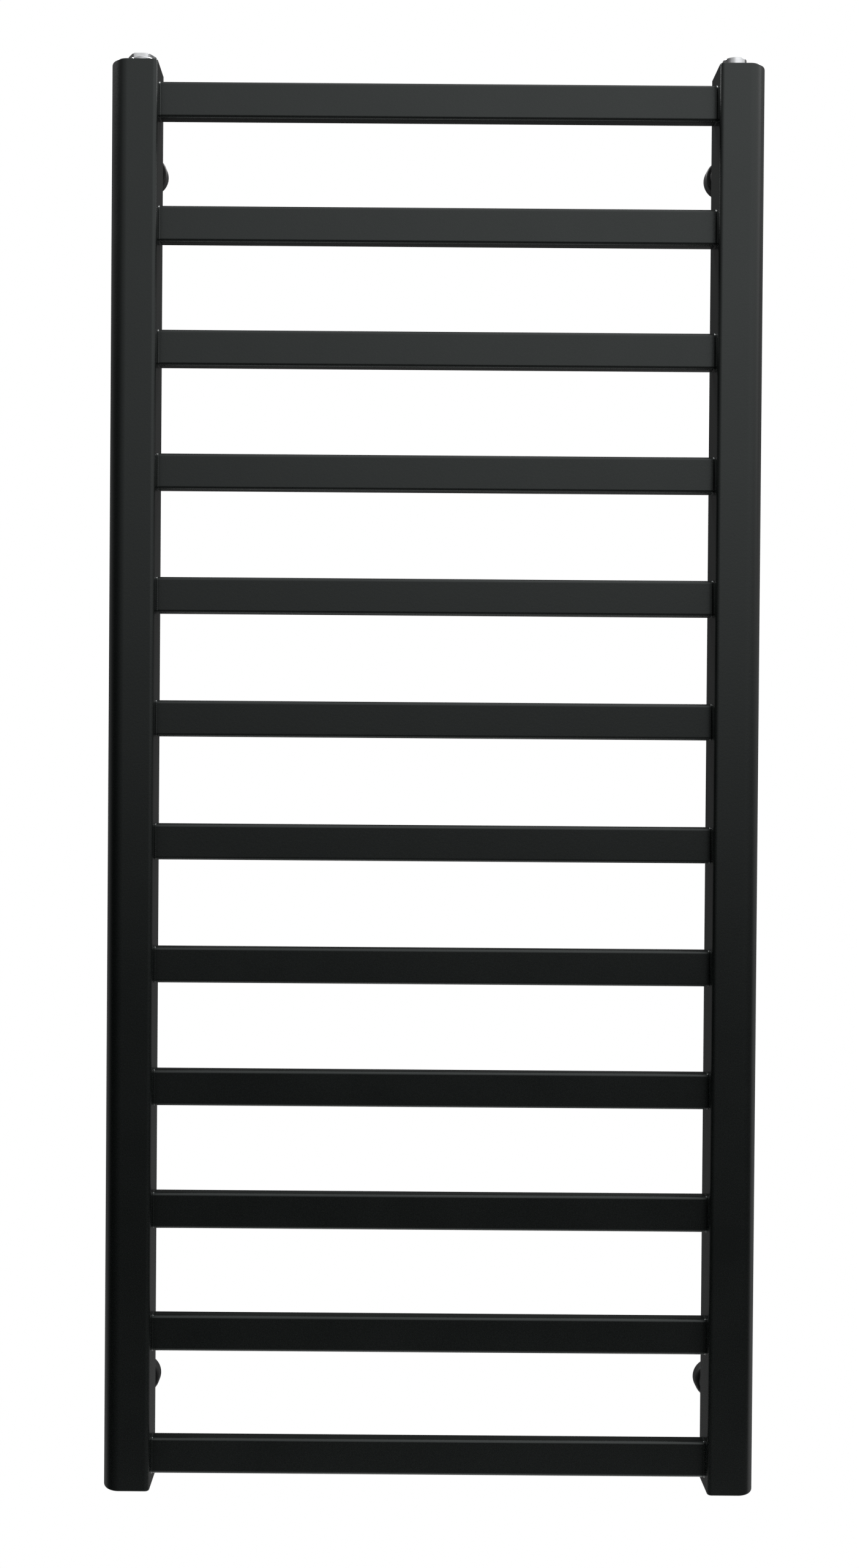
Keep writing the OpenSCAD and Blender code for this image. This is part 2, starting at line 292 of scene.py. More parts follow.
def turned(rows, steps=96, closed=True):
    """A turned shape about Z from (radius, height) rows. A row's radius may be a function of the angle."""
    angles = [2 * PI * step / steps for step in range(steps)]
    rings = []
    for radius, height in rows:
        reach = radius if callable(radius) else lambda angle, r=radius: r
        rings.append([Vector((reach(a) * math.cos(a), reach(a) * math.sin(a), height)) for a in angles])
    return skin(rings, closed)


def place(shape, middle, aim=UPRIGHT):
    """The shape in the frame: turned by aim, in metres, with its own origin at the point middle."""
    points, faces = shape
    move = Matrix.Translation(middle) @ aim @ Matrix.Scale(MM, 4)
    return [move @ Vector(point) for point in points], faces


def joined(shapes):
    points, faces = [], []
    for more_points, more_faces in shapes:
        start = len(points)
        points.extend(more_points)
        faces.extend(tuple(corner + start for corner in face) for face in more_faces)
    return points, faces


def mesh_object(name, shape):
    points, faces = shape
    mesh = bpy.data.meshes.new(name)
    mesh.from_pydata([tuple(point) for point in points], [], faces)
    mesh.update()
    thing = bpy.data.objects.new(name, mesh)
    bpy.context.scene.collection.objects.link(thing)
    return thing


def face_outwards(thing):
    """Turns a closed mesh right side out."""
    mesh = thing.data
    volume = 0
    for face in mesh.polygons:
        first = mesh.vertices[face.vertices[0]].co
        for one, two in zip(face.vertices[1:], face.vertices[2:]):
            volume += first.dot(mesh.vertices[one].co.cross(mesh.vertices[two].co))
    if volume < 0:
        mesh.flip_normals()


def combine(thing, tool, operation):
    """Cuts tool from thing, or joins it to thing, and leaves the result in thing's mesh."""
    face_outwards(thing)
    face_outwards(tool)
    modifier = thing.modifiers.new("combine", "BOOLEAN")
    modifier.object = tool
    modifier.operation = operation
    modifier.solver = "EXACT"
    graph = bpy.context.evaluated_depsgraph_get()
    result = bpy.data.meshes.new_from_object(thing.evaluated_get(graph))
    thing.modifiers.clear()
    thing.data = result
    bpy.data.objects.remove(tool)


def finish_piece(thing, body, slot, *nodes):
    """Shades the piece, gives it its material, ties it to its body, and hides the CAD nodes it stands for."""
    face_outwards(thing)
    thing.data.shade_smooth()
    thing.data.set_sharp_from_angle(angle=math.radians(30))
    thing.data.materials.clear()
    thing.data.materials.append(MATERIALS[slot])
    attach(thing, body)
    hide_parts(*nodes)


def middle_of(node):
    low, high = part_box(node)
    return (low + high) / 2


# ---- Materials ----


def new_material(name):
    """A material with a Principled shader, its tree, and a point in the piece's own metres."""
    material = bpy.data.materials.new(f"{name}_finish")
    material.use_nodes = True
    tree = material.node_tree
    shader = tree.nodes["Principled BSDF"]
    where = tree.nodes.new("ShaderNodeTexCoord").outputs["Object"]
    return material, tree, shader, where


def noise(tree, where, size, detail=2.0, roughness=0.5):
    """Noise whose lumps are about size metres across."""
    node = tree.nodes.new("ShaderNodeTexNoise")
    node.inputs["Scale"].default_value = 1 / size
    node.inputs["Detail"].default_value = detail
    node.inputs["Roughness"].default_value = roughness
    tree.links.new(where, node.inputs["Vector"])
    return node.outputs["Fac"]


def spread(tree, value, low, high, start=0.3, stop=0.7):
    """Maps the part of value between start and stop onto low to high."""
    node = tree.nodes.new("ShaderNodeMapRange")
    node.inputs["From Min"].default_value = start
    node.inputs["From Max"].default_value = stop
    node.inputs["To Min"].default_value = low
    node.inputs["To Max"].default_value = high
    tree.links.new(value, node.inputs["Value"])
    return node.outputs["Result"]


def tint(tree, value, dark, light):
    """A colour between dark and light."""
    node = tree.nodes.new("ShaderNodeMix")
    node.data_type = "RGBA"
    node.inputs[6].default_value = (*dark, 1)
    node.inputs[7].default_value = (*light, 1)
    tree.links.new(value, node.inputs["Factor"])
    return node.outputs[2]


def bump(tree, height, depth, strength=1.0, below=None):
    """A bump of depth metres, on top of another one where below is given."""
    node = tree.nodes.new("ShaderNodeBump")
    node.inputs["Strength"].default_value = strength
    node.inputs["Distance"].default_value = depth
    tree.links.new(height, node.inputs["Height"])
    if below is not None:
        tree.links.new(below, node.inputs["Normal"])
    return node.outputs["Normal"]


def rack_coat():
    """Satin black powder coat: a fine orange peel with a finer grain on it."""
    material, tree, shader, where = new_material("rack_coat")
    patches = noise(tree, where, 0.06, detail=3)
    grain = noise(tree, where, 0.0011, detail=3, roughness=0.6)
    shader.inputs["Specular IOR Level"].default_value = 0.31
    shader.inputs["Specular Tint"].default_value = (0.93, 1.0, 0.99, 1)
    colour = tint(tree, spread(tree, grain, 0, 1), (0.0020, 0.0025, 0.0023), (0.0032, 0.0039, 0.0037))
    gloss = math_node(tree, "ADD")
    tree.links.new(spread(tree, patches, 0.25, 0.29), gloss.inputs[0])
    tree.links.new(spread(tree, grain, -0.03, 0.03), gloss.inputs[1])
    peel = bump(tree, noise(tree, where, 0.0022, detail=1), 0.00004, 0.5)
    relief = bump(tree, noise(tree, where, 0.0006, detail=2), 0.00002, 0.5, below=peel)
    tree.links.new(colour, shader.inputs["Base Color"])
    tree.links.new(gloss.outputs[0], shader.inputs["Roughness"])
    tree.links.new(relief, shader.inputs["Normal"])
    return material


def chrome():
    """Chrome plate with faint polishing lines and haze, toned down because the room's light is strong."""
    material, tree, shader, where = new_material("chrome")
    haze = noise(tree, where, 0.004, detail=3)
    lines = noise(tree, where, 0.0004, detail=4)
    shader.inputs["Metallic"].default_value = 1.0
    tree.links.new(
        tint(tree, spread(tree, haze, 0, 1), (0.37, 0.375, 0.385), (0.43, 0.435, 0.44)),
        shader.inputs["Base Color"],
    )
    tree.links.new(spread(tree, haze, 0.06, 0.13), shader.inputs["Roughness"])
    tree.links.new(bump(tree, lines, 0.000004, 0.4), shader.inputs["Normal"])
    return material


def zinc_steel():
    """Zinc plated steel: bright, with a faint blue and yellow cast in patches."""
    material, tree, shader, where = new_material("zinc_steel")
    cast = noise(tree, where, 0.0025, detail=3)
    scuffs = noise(tree, where, 0.0005, detail=4)
    shader.inputs["Metallic"].default_value = 1.0
    tree.links.new(
        tint(tree, spread(tree, cast, 0, 1), (0.50, 0.52, 0.56), (0.60, 0.585, 0.54)),
        shader.inputs["Base Color"],
    )
    tree.links.new(spread(tree, scuffs, 0.24, 0.42), shader.inputs["Roughness"])
    tree.links.new(bump(tree, scuffs, 0.00001, 0.5), shader.inputs["Normal"])
    return material


def bracket_plastic():
    """Moulded black plastic with a fine spark-eroded grain."""
    material, tree, shader, where = new_material("bracket_plastic")
    grain = noise(tree, where, 0.0007, detail=2)
    patches = noise(tree, where, 0.012, detail=2)
    shader.inputs["Specular IOR Level"].default_value = 0.3
    tree.links.new(
        tint(tree, spread(tree, grain, 0, 1), (0.006, 0.006, 0.0063), (0.0105, 0.0105, 0.011)),
        shader.inputs["Base Color"],
    )
    tree.links.new(spread(tree, patches, 0.46, 0.56), shader.inputs["Roughness"])
    tree.links.new(bump(tree, grain, 0.00004, 0.5), shader.inputs["Normal"])
    return material


def seal_rubber():
    """Smooth black rubber with a little bloom."""
    material, tree, shader, where = new_material("seal_rubber")
    bloom = noise(tree, where, 0.002, detail=4)
    tree.links.new(
        tint(tree, spread(tree, bloom, 0, 1), (0.014, 0.014, 0.015), (0.034, 0.034, 0.035)),
        shader.inputs["Base Color"],
    )
    tree.links.new(spread(tree, bloom, 0.55, 0.7), shader.inputs["Roughness"])
    tree.links.new(bump(tree, bloom, 0.00002, 0.4), shader.inputs["Normal"])
    return material


# The floor's distance below the rack, its radius, and the width of its rim that fades out, in metres.
FLOOR_DROP = 0.6
FLOOR_R = 1.0
FLOOR_FADE = 0.35
FLOOR_SIDES = 96


def floor_paint():
    """Pale matt floor that fades out towards its edge."""
    material, tree, shader, where = new_material("floor_paint")
    speckle = noise(tree, where, 0.02, detail=4)
    tree.links.new(
        tint(tree, spread(tree, speckle, 0, 1), (0.80, 0.80, 0.79), (0.84, 0.84, 0.83)),
        shader.inputs["Base Color"],
    )
    shader.inputs["Roughness"].default_value = 0.8
    length = tree.nodes.new("ShaderNodeVectorMath")
    length.operation = "LENGTH"
    tree.links.new(where, length.inputs[0])
    fade = spread(tree, length.outputs["Value"], 1, 0, FLOOR_R - FLOOR_FADE, FLOOR_R)
    tree.links.new(fade, shader.inputs["Alpha"])
    return material


def make_floor():
    """A round floor from rings. Of the two caps that skin() adds, only the one in its middle is kept."""
    angles = between(0, 2 * PI, FLOOR_SIDES + 1)[:-1]
    rings = [
        [Vector((r * math.cos(angle), r * math.sin(angle), 0)) for angle in angles]
        for r in (FLOOR_R, FLOOR_R - FLOOR_FADE, FLOOR_R / 4)
    ]
    points, faces = skin(rings, closed=False)
    floor = mesh_object("floor", (points, faces[:-2 * FLOOR_SIDES] + faces[-FLOOR_SIDES:]))
    floor.location = (0, 0, cad_low.z - FLOOR_DROP)
    floor.data.materials.append(floor_paint())


# ---- Collectors, caps and bushes ----

post_low, post_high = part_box("right_collector")
POST_W = (post_high.x - post_low.x) / MM
POST_D = (post_high.y - post_low.y) / MM
POST_TOP = post_high.z / MM
POST_CORNER_R = 3.5
POST_BOW = 15
POST_WALL = 1.5
POST_END_R = 0.7
POST_END_BEND = 0.5
HOLD = 0.6
CORNER_STEPS = 9
BOW_STEPS = 44
SIDE_POINTS = 12
FLAT_POINTS = 30
SEAM = 0.2
PORT_X = middle_of("right_port_bush").x
PORT_IN_POST = (PORT_X - post_low.x) / MM
BUSH_R = (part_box("right_port_bush")[1].x - PORT_X) / MM
BUSH_L = (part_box("right_port_bush")[1].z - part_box("right_port_bush")[0].z) / MM
CAP_T = (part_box("right_top_cap")[1].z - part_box("right_top_cap")[0].z) / MM
TOP_BORE_R = 10.45
THREAD_MINOR_R = 9.32
THREAD_DEPTH = 1.15
THREAD_PITCH = 1.814
# How far a thread's wave is cut off at its root, and again at its crest, as a share of the thread's depth.
THREAD_FLAT = 0.15
PORT_ROWS = 78
MOUTH_START = 0.18
MOUTH_CUT = 0.4


def post_outline(inset):
    """The collector's D section, set in by inset: flat side at x = 0, elliptic side towards +x.

    Its straight runs are divided, and begin and end at the distance HOLD from the curves, to stay flat.
    """
    half = POST_D / 2
    corner = POST_CORNER_R - inset
    flat = half - POST_CORNER_R
    bow = POST_W - POST_BOW
    across = between(POST_CORNER_R + HOLD, bow - HOLD, SIDE_POINTS)
    half_circle = arc(0, 0, 1, -1, 1, BOW_STEPS)
    outline = arc(POST_CORNER_R, -flat, corner, 2, 3, CORNER_STEPS)
    outline += [(x, inset - half) for x in across]
    outline += [(bow + (POST_BOW - inset) * x, (half - inset) * y) for x, y in half_circle]
    outline += [(x, half - inset) for x in reversed(across)]
    outline += arc(POST_CORNER_R, flat, corner, 1, 2, CORNER_STEPS)
    outline += [(inset, y) for y in between(flat - HOLD, HOLD - flat, FLAT_POINTS)]
    return outline


def post_ring(inset, height):
    return [Vector((x, y, height)) for x, y in post_outline(inset)]


def bush_ring(radius, height):
    """Points round the port, one in the direction of each point of the collector's outline."""
    ring = []
    for x, y in post_outline(POST_WALL):
        way = Vector((x - PORT_IN_POST, y)).normalized() * radius
        ring.append(Vector((PORT_IN_POST + way.x, way.y, height)))
    return ring


def in_post(shape, side):
    """Puts a shape drawn from the collector's inner flat side into the collector of that side."""
    mirror = Matrix.Scale(side, 4, (1, 0, 0))
    centre_y = (post_low.y + post_high.y) / 2
    return place(shape, (side * post_low.x, centre_y, 0), mirror)


def collector_tube(name, side):
    """Both faces of the D tube. Its ends are rounded outside and bevelled at the seam with the cap."""
    end = [(0, POST_TOP - POST_END_R - POST_END_BEND)]
    end += [(POST_END_R - x, POST_TOP - POST_END_R + y) for x, y in arc(0, 0, POST_END_R, 0, 1, 5)]
    end += [(POST_WALL - SEAM, POST_TOP), (POST_WALL, POST_TOP - SEAM)]
    rows = end + [(inset, -height) for inset, height in reversed(end)]
    tube = in_post(skin([post_ring(*row) for row in rows], closed=True), side)
    finish_piece(mesh_object(f"{name}_collector_tube", tube), "rack", "rack_coat", f"{name}_collector")


def end_cap(name, side, end, up):
    """The plate inside the collector's end, with a bevelled seam outside and round the bush."""
    rings = [
        post_ring(POST_WALL, POST_TOP - CAP_T),
        post_ring(POST_WALL, POST_TOP - SEAM),
        post_ring(POST_WALL + SEAM, POST_TOP),
        bush_ring(BUSH_R + SEAM, POST_TOP),
        bush_ring(BUSH_R, POST_TOP - SEAM),
        bush_ring(BUSH_R, POST_TOP - CAP_T),
    ]
    points, faces = skin(rings, closed=True)
    points = [Vector((p.x, p.y, up * p.z)) for p in points]
    cap = mesh_object(f"{name}_{end}_cap_plate", in_post((points, faces), side))
    finish_piece(cap, "rack", "rack_coat", f"{name}_{end}_cap")


def top_bush(name):
    """The plain seat of the top fittings, drawn from its outer end."""
    rows = [
        (TOP_BORE_R, -BUSH_L), (BUSH_R, -BUSH_L), (BUSH_R, -SEAM), (BUSH_R - SEAM, 0),
        (TOP_BORE_R + SEAM, 0), (TOP_BORE_R, -SEAM),
    ]
    low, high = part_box(f"{name}_top_bush")
    bush = place(turned(rows), ((low.x + high.x) / 2, (low.y + high.y) / 2, high.z))
    finish_piece(mesh_object(f"{name}_top_seat", bush), "rack", "rack_coat", f"{name}_top_bush")


def thread(minor, depth, pitch, height, least):
    """The radius of a screw thread at a height, as a function of the angle, never under least."""

    def radius(angle):
        wave = 0.5 - 0.5 * math.cos(2 * PI * height / pitch - angle)
        crest = min(max((1 + 2 * THREAD_FLAT) * wave - THREAD_FLAT, 0), 1)
        return max(minor + depth * crest, least)

    return radius


def port_bush(name):
    """The threaded port, drawn from its mouth: half inch pipe thread and a countersunk mouth."""
    mouth_r = THREAD_MINOR_R + THREAD_DEPTH + MOUTH_CUT
    rows = [(BUSH_R, -BUSH_L), (BUSH_R, -SEAM), (BUSH_R - SEAM, 0), (mouth_r, 0)]
    for height in between(-MOUTH_START, -BUSH_L, PORT_ROWS):
        cut = mouth_r + height
        rows.append((thread(THREAD_MINOR_R, THREAD_DEPTH, THREAD_PITCH, height, cut), height))
    low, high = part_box(f"{name}_port_bush")
    bush = place(turned(rows), ((low.x + high.x) / 2, (low.y + high.y) / 2, low.z), UPSIDE_DOWN)
    finish_piece(mesh_object(f"{name}_threaded_port", bush), "rack", "rack_coat", f"{name}_port_bush")


# ---- Rails and weld beads ----

RAILS = sorted(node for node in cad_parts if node.startswith("rail_"))
rail_low, rail_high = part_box(RAILS[0])
RAIL_W = (rail_high.x - rail_low.x) / MM
RAIL_D = (rail_high.y - rail_low.y) / MM
RAIL_H = (rail_high.z - rail_low.z) / MM
RAIL_R = 2.5
RAIL_WALL = 1.2
# A bead's leg, how far it reaches into the rail and the collector, how hollow its face is, and its ripples.
BEAD = 0.95
BEAD_ROOT = 0.3
BEAD_HOLLOW = 0.6
BEAD_RIPPLE = 0.05
BEAD_RIPPLES = 48
BEAD_STEPS_PER_RIPPLE = 5
# Turns a shape drawn along z so that it lies along x.
ALONG_X = Matrix(((0, 0, 1, 0), (1, 0, 0, 0), (0, 1, 0, 0), (0, 0, 0, 1)))


def rail(node):
    """A flat tube with both its faces, drawn across and extruded along its length."""
    outside = rounded_rect(RAIL_D, RAIL_H, RAIL_R)
    inside = rounded_rect(RAIL_D - 2 * RAIL_WALL, RAIL_H - 2 * RAIL_WALL, RAIL_R - RAIL_WALL)
    half = RAIL_W / 2
    rows = [(outside, -half), (outside, half), (inside, half), (inside, -half)]
    rings = [[Vector((x, y, along)) for x, y in outline] for outline, along in rows]
    tube = place(skin(rings, closed=True), middle_of(node), ALONG_X)
    finish_piece(mesh_object(f"{node}_tube", tube), "rack", "rack_coat", node)


def walk_round(width, height, r, count):
    """Evenly spaced places round a rounded rectangle, each a point and the direction out of it."""
    halves = (width / 2, height / 2)
    quarter = PI * r / 2
    total = 4 * (sum(halves) - 2 * r) + 4 * quarter
    for step in range(count):
        left = total * step / count
        for turns in range(4):
            out, along = halves[turns % 2], halves[1 - turns % 2] - r
            if left < 2 * along:
                point, way = Vector((out, left - along)), Vector((1, 0))
                break
            left -= 2 * along
            if left < quarter:
                way = Vector((math.cos(left / r), math.sin(left / r)))
                point = Vector((out - r, along)) + r * way
                break
            left -= quarter
        turn = Matrix.Rotation(turns * PI / 2, 2)
        yield turn @ point, turn @ way


def weld_bead():
    """A fillet of weld round a rail's end, drawn from the collector's face, with ripples along it."""
    rings = []
    walk = walk_round(RAIL_D, RAIL_H, RAIL_R, BEAD_RIPPLES * BEAD_STEPS_PER_RIPPLE)
    for at, (point, way) in enumerate(walk):
        leg = BEAD - BEAD_RIPPLE * (1 - math.cos(2 * PI * at / BEAD_STEPS_PER_RIPPLE)) / 2
        section = [(-BEAD_ROOT, -BEAD_ROOT), (leg, -BEAD_ROOT)]
        for turn in between(0, PI / 2, 7):
            hollow = Vector((1 - math.sin(turn), 1 - math.cos(turn)))
            straight = Vector((1 - turn / (PI / 2), turn / (PI / 2)))
            section.append(tuple(leg * (BEAD_HOLLOW * hollow + (1 - BEAD_HOLLOW) * straight)))
        section.append((-BEAD_ROOT, leg))
        ring = []
        for along, off in section:
            spot = point + way * off
            ring.append(Vector((spot.x, spot.y, along)))
        rings.append(ring)
    return skin(rings, closed=True)


def weld_beads(name, side):
    bead = weld_bead()
    beads = []
    for node in RAILS:
        low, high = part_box(node)
        end = Vector((side * high.x, (low.y + high.y) / 2, (low.z + high.z) / 2))
        beads.append(place(bead, end, Matrix.Scale(-side, 4, (1, 0, 0)) @ ALONG_X))
    finish_piece(mesh_object(f"{name}_welds", joined(beads)), "rack", "rack_coat", f"{name}_weld_beads")


# ---- Plug and bleed valve, drawn from the collector's top ----

# Both have a shank in the bush, cut back at its end, and a flange that leaves room for the seal ring.
THREAD_R = 10.4
THREAD_L = 11
THREAD_END_CUT = 0.5
SEAL_GAP = 1.2
FLANGE_R = 12.5
# The plug's hexagon, whose AF is its width across flats, stands out of a cone on the flange.
PLUG_AF = 21
PLUG_TOP_R = 11.5
PLUG_FLANGE_TOP = 3.6
PLUG_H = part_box("plug_body")[1].z / MM - POST_TOP
PLUG_CORNER_CUT = 0.15
PLUG_CHAMFER_SLOPE = 2
PLUG_CONE_IN = 2.3
PLUG_CONE_UP = 2.4
PLUG_BLEND = 0.25
PLUG_EDGE = 0.15
PLUG_ROWS = 60
PLUG_ROW_MARGIN = 0.05
PLUG_SOCKET_AF = 12
PLUG_SOCKET_CUT = 0.4
PLUG_SOCKET_DEPTH = 3
VENT_FLANGE_TOP = 3.2
NECK_R = 7
NECK_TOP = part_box("vent_body")[1].z / MM - POST_TOP
RING_R = 10
RING_BOTTOM = 3.4
RING_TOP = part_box("vent_outlet_ring")[1].z / MM - POST_TOP
# START and REACH are distances from the valve's axis. The spout starts inside the ring's wall, and its hole
# inside the ring's bore.
SPOUT_Z = 5.8
SPOUT_R = 1.9
SPOUT_START = 7.6
SPOUT_REACH = 13.4
SPOUT_HOLE_R = 0.8
SPOUT_HOLE_START = 6
SPOUT_HOLE_CUT = 0.3
# The needle has a cone at its bottom, a groove for the seal ring, and a slot across its top.
NEEDLE_R = 3
NEEDLE_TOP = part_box("vent_needle")[1].z / MM - POST_TOP
NEEDLE_BOTTOM = -3
NEEDLE_TIP_R = 1
NEEDLE_CONE_L = 2
GROOVE_R = 1.6
GROOVE_LOW = 0.4
GROOVE_HIGH = 1.9
SLOT_L = 8
SLOT_W = 1.2
SLOT_DEPTH = 1.6


def top_of(side):
    """The middle of the collector's upper port, at the height of the collector's top."""
    return Vector((side * PORT_X, middle_of("left_port_bush").y, POST_TOP * MM))


def plug_side(height):
    """The plug's radius at a height: the hexagon, chamfered at its top, where it stands out of the cone."""
    cone = FLANGE_R - (height - PLUG_FLANGE_TOP) * PLUG_CONE_IN / PLUG_CONE_UP
    chamfer = PLUG_TOP_R + PLUG_CHAMFER_SLOPE * (PLUG_H - height)
    sides = hexagon(PLUG_AF, PLUG_CORNER_CUT)
    return lambda angle: soft_max(soft_min(sides(angle), chamfer, PLUG_BLEND), cone, PLUG_BLEND)


def blind_plug():
    """The plug with its hexagon head, drawn from the shank's end up and then down into the key's socket."""
    flange = rounded(
        [(THREAD_R, SEAL_GAP, 0), (FLANGE_R, SEAL_GAP, 0.4), (FLANGE_R, PLUG_FLANGE_TOP, 0.01)],
        steps=3,
        hold=0.1,
    )
    rows = [(THREAD_R - THREAD_END_CUT, -THREAD_L), (THREAD_R, THREAD_END_CUT - THREAD_L)]
    # The flange's outline closes inwards after its edge. The cone starts there, so those points are left out.
    rows += flange[:-3]
    heights = between(PLUG_FLANGE_TOP + PLUG_ROW_MARGIN, PLUG_H - PLUG_ROW_MARGIN, PLUG_ROWS)
    rows += [(plug_side(height), height) for height in heights]
    rows.append((PLUG_AF / 2 - PLUG_EDGE, PLUG_H))
    socket = hexagon(PLUG_SOCKET_AF)
    rows += [
        (lambda angle: socket(angle) + PLUG_SOCKET_CUT, PLUG_H),
        (socket, PLUG_H - PLUG_SOCKET_CUT),
        (socket, PLUG_H - PLUG_SOCKET_DEPTH),
    ]
    plug = place(turned(rows, steps=144, closed=False), top_of(-1))
    finish_piece(mesh_object("blind_plug", plug), "rack", "chrome", "plug_body")


def valve_body():
    """The valve without its moving parts: shank, flange and neck, with the needle's bore and seat."""
    bore = NEEDLE_R + PLAY
    seat_r = NEEDLE_TIP_R + PLAY
    rows = rounded(
        [
            (THREAD_R, THREAD_END_CUT - THREAD_L, 0), (THREAD_R, SEAL_GAP, 0), (FLANGE_R, SEAL_GAP, 0.4),
            (FLANGE_R, VENT_FLANGE_TOP, 0.5), (NECK_R, VENT_FLANGE_TOP, 0), (NECK_R, NECK_TOP, 0.4),
            (bore, NECK_TOP, 0.3), (bore, NEEDLE_BOTTOM + NEEDLE_CONE_L, 0), (seat_r, NEEDLE_BOTTOM, 0),
            (seat_r, -THREAD_L, 0), (THREAD_R - THREAD_END_CUT, -THREAD_L, 0),
        ],
        steps=4,
        hold=0.15,
    )
    body = place(turned(rows), top_of(1))
    finish_piece(mesh_object("bleed_valve_body", body), "rack", "chrome", "vent_body")


def outlet_ring():
    """The ring that swivels round the valve, with its spout towards the wall."""
    bore = NECK_R + PLAY
    profile = rounded(
        [
            (bore, RING_BOTTOM, 0.2), (RING_R, RING_BOTTOM, 0.6),
            (RING_R, RING_TOP, 0.6), (bore, RING_TOP, 0.3),
        ],
        hold=0.2,
    )
    ring = mesh_object("outlet_ring", place(turned(profile), top_of(1)))
    spout_foot = top_of(1) + Vector((0, 0, SPOUT_Z * MM))
    towards_wall = Matrix.Rotation(-PI / 2, 4, "X")
    spout_rows = rounded(
        [
            (CORE_R, SPOUT_START, 0), (SPOUT_R, SPOUT_START, 0),
            (SPOUT_R, SPOUT_REACH, 0.4), (CORE_R, SPOUT_REACH, 0),
        ],
        hold=0.15,
    )
    spout = place(turned(spout_rows[:-1], 48, closed=False), spout_foot, towards_wall)
    combine(ring, mesh_object("spout", spout), "UNION")
    drill_rows = [
        (SPOUT_HOLE_R, SPOUT_HOLE_START), (SPOUT_HOLE_R, SPOUT_REACH - SPOUT_HOLE_CUT),
        (SPOUT_HOLE_R + 2 * SPOUT_HOLE_CUT, SPOUT_REACH + SPOUT_HOLE_CUT),
    ]
    drill = mesh_object("drill", place(turned(drill_rows, 32, closed=False), spout_foot, towards_wall))
    combine(ring, drill, "DIFFERENCE")
    finish_piece(ring, "bleed_outlet", "chrome", "vent_outlet_ring")


def bleed_needle():
    """The slotted screw with a cone that closes the valve. Its cone is clear of the seat by a little play."""
    cone_low = NEEDLE_BOTTOM + 2 * PLAY
    cone_high = NEEDLE_BOTTOM + NEEDLE_CONE_L + 2 * PLAY
    rows = rounded(
        [
            (CORE_R, NEEDLE_BOTTOM, 0), (NEEDLE_TIP_R, cone_low, 0), (NEEDLE_R, cone_high, 0),
            (NEEDLE_R, GROOVE_LOW, 0), (GROOVE_R, GROOVE_LOW, 0),
            (GROOVE_R, GROOVE_HIGH, 0), (NEEDLE_R, GROOVE_HIGH, 0),
            (NEEDLE_R, NEEDLE_TOP, 0.35), (CORE_R, NEEDLE_TOP, 0),
        ],
        hold=0.1,
    )
    needle = mesh_object("needle_screw", place(turned(rows, 64, closed=False), top_of(1)))
    slot_ring = rounded_rect(SLOT_L, SLOT_W, 0.05, steps=2, hold=0.05)
    rings = [[Vector((x, y, z)) for x, y in slot_ring] for z in (NEEDLE_TOP - SLOT_DEPTH, NEEDLE_TOP + 1)]
    combine(needle, mesh_object("slot", place(skin(rings, closed=False), top_of(1))), "DIFFERENCE")
    finish_piece(needle, "bleed_needle", "zinc_steel", "vent_needle")


# ---- Wall brackets, drawn from the wall outwards along each fixing's axis ----

# Names that end in NEAR, FAR, FLOOR, BACK, END or AT are distances from the wall.
DISC_R = (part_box("upper_left_wall_disc")[1].x - middle_of("upper_left_wall_disc").x) / MM
DISC_T = 12
DISC_FLOOR = 8
SPIGOT_R = 7
SPIGOT_END = 22.95
SPIGOT_BORE_R = 5.6
WALL_HOLE_R = 3.25
SLEEVE_R = 12
SLEEVE_NEAR = 14.05
SLEEVE_FAR = 30
SLEEVE_FLOOR = (25, 28)
SLEEVE_HOLE_R = 2.8
BOSS_R = 7
BOSS_NEAR = 28
BOSS_FAR = 36.5
POST_BACK = 35
BOSS_BORE_R = 2.55
# The weld round the boss: its leg, the middle of its hollow face, the height of its rim, and its depth.
WELD_LEG = 1.2
WELD_MIDDLE_OUT = 0.35
WELD_MIDDLE_UP = 0.45
WELD_RIM = 0.02
WELD_ROOT = 0.4
SCREW_R = 2.5
SCREW_HEAD_R = 5
SCREW_HEAD_END = 21.7
SCREW_END = 33.4
SCREW_CUT = 0.4
SCREW_CUT_MIDDLE_IN = 0.15
SCREW_CUT_MIDDLE_UP = 0.1
SCREW_KEY_AF = 4
SCREW_KEY_CUT = 0.15
SCREW_KEY_DEPTH = 2
GRUB_R = 2.45
GRUB_L = 4.8
GRUB_AT = 17
GRUB_PITCH = 0.8
GRUB_THREAD_DEPTH = 0.4
# The grub screw's cup point in (radius, height) rows, its cut thread ends, and the rim round its socket.
GRUB_CUP = [(0.9, 0.35), (1.5, 0)]
GRUB_END_CUT = 0.6
GRUB_RIM_CUT = 0.5
GRUB_ROWS = 40
GRUB_ROW_MARGIN = 0.25
GRUB_KEY_AF = 2.5
GRUB_KEY_CUT = 0.12
GRUB_KEY_DEPTH = 2
# The grub screw's hole starts inside the sleeve's bore. Its mouth is cut from below the surface to above it.
GRUB_HOLE_START = 4
GRUB_HOLE_BELOW = 0.3
GRUB_HOLE_ABOVE = 0.5


def fixing(corner):
    """Where the bracket's axis meets the wall."""
    middle = middle_of(f"{corner}_wall_disc")
    return Vector((middle.x, 0, middle.z))


